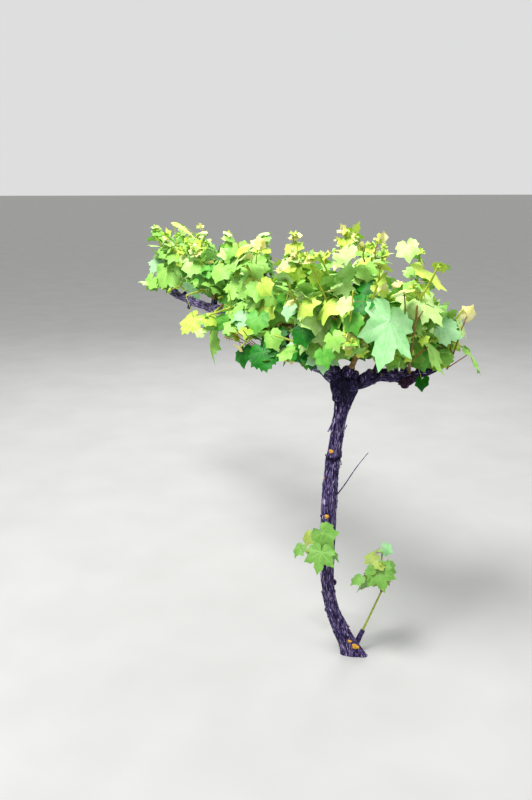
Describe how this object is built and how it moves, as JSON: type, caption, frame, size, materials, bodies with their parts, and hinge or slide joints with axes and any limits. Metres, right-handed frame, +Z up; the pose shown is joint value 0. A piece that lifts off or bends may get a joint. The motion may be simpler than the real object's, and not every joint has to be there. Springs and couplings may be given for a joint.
{
  "type": "grapevine",
  "caption": "Trained grapevine in spring leaf: crooked trunk with a root flare, swollen head, one long arm along the row, one short arm across it, and lobed leaves on rising and hanging shoots.",
  "frame": {"origin": "middle of the flat cut under the trunk, at ground level", "axes": "+Z up; the long arm runs towards -X, the short arm towards +Y"},
  "size_m": [1.7894, 0.7107, 1.3567],
  "materials": {
    "bark": "rough, fibrous, weathered bark",
    "leaves": "fresh green leaf, slightly glossy"
  },
  "bodies": {
    "root": {"trunk": "bark", "long_arm": "bark", "short_arm": "bark", "long_arm_leaves_1": "leaves", "long_arm_leaves_2": "leaves", "long_arm_leaves_3": "leaves", "long_arm_leaves_4": "leaves", "long_arm_leaves_5": "leaves", "long_arm_leaves_6": "leaves", "long_arm_leaves_7": "leaves", "short_arm_leaves_1": "leaves", "short_arm_leaves_2": "leaves", "short_arm_leaves_3": "leaves", "head_leaves_1": "leaves", "head_leaves_2": "leaves", "trunk_sprout": "leaves", "base_sucker": "leaves"}
  },
  "joints": []
}
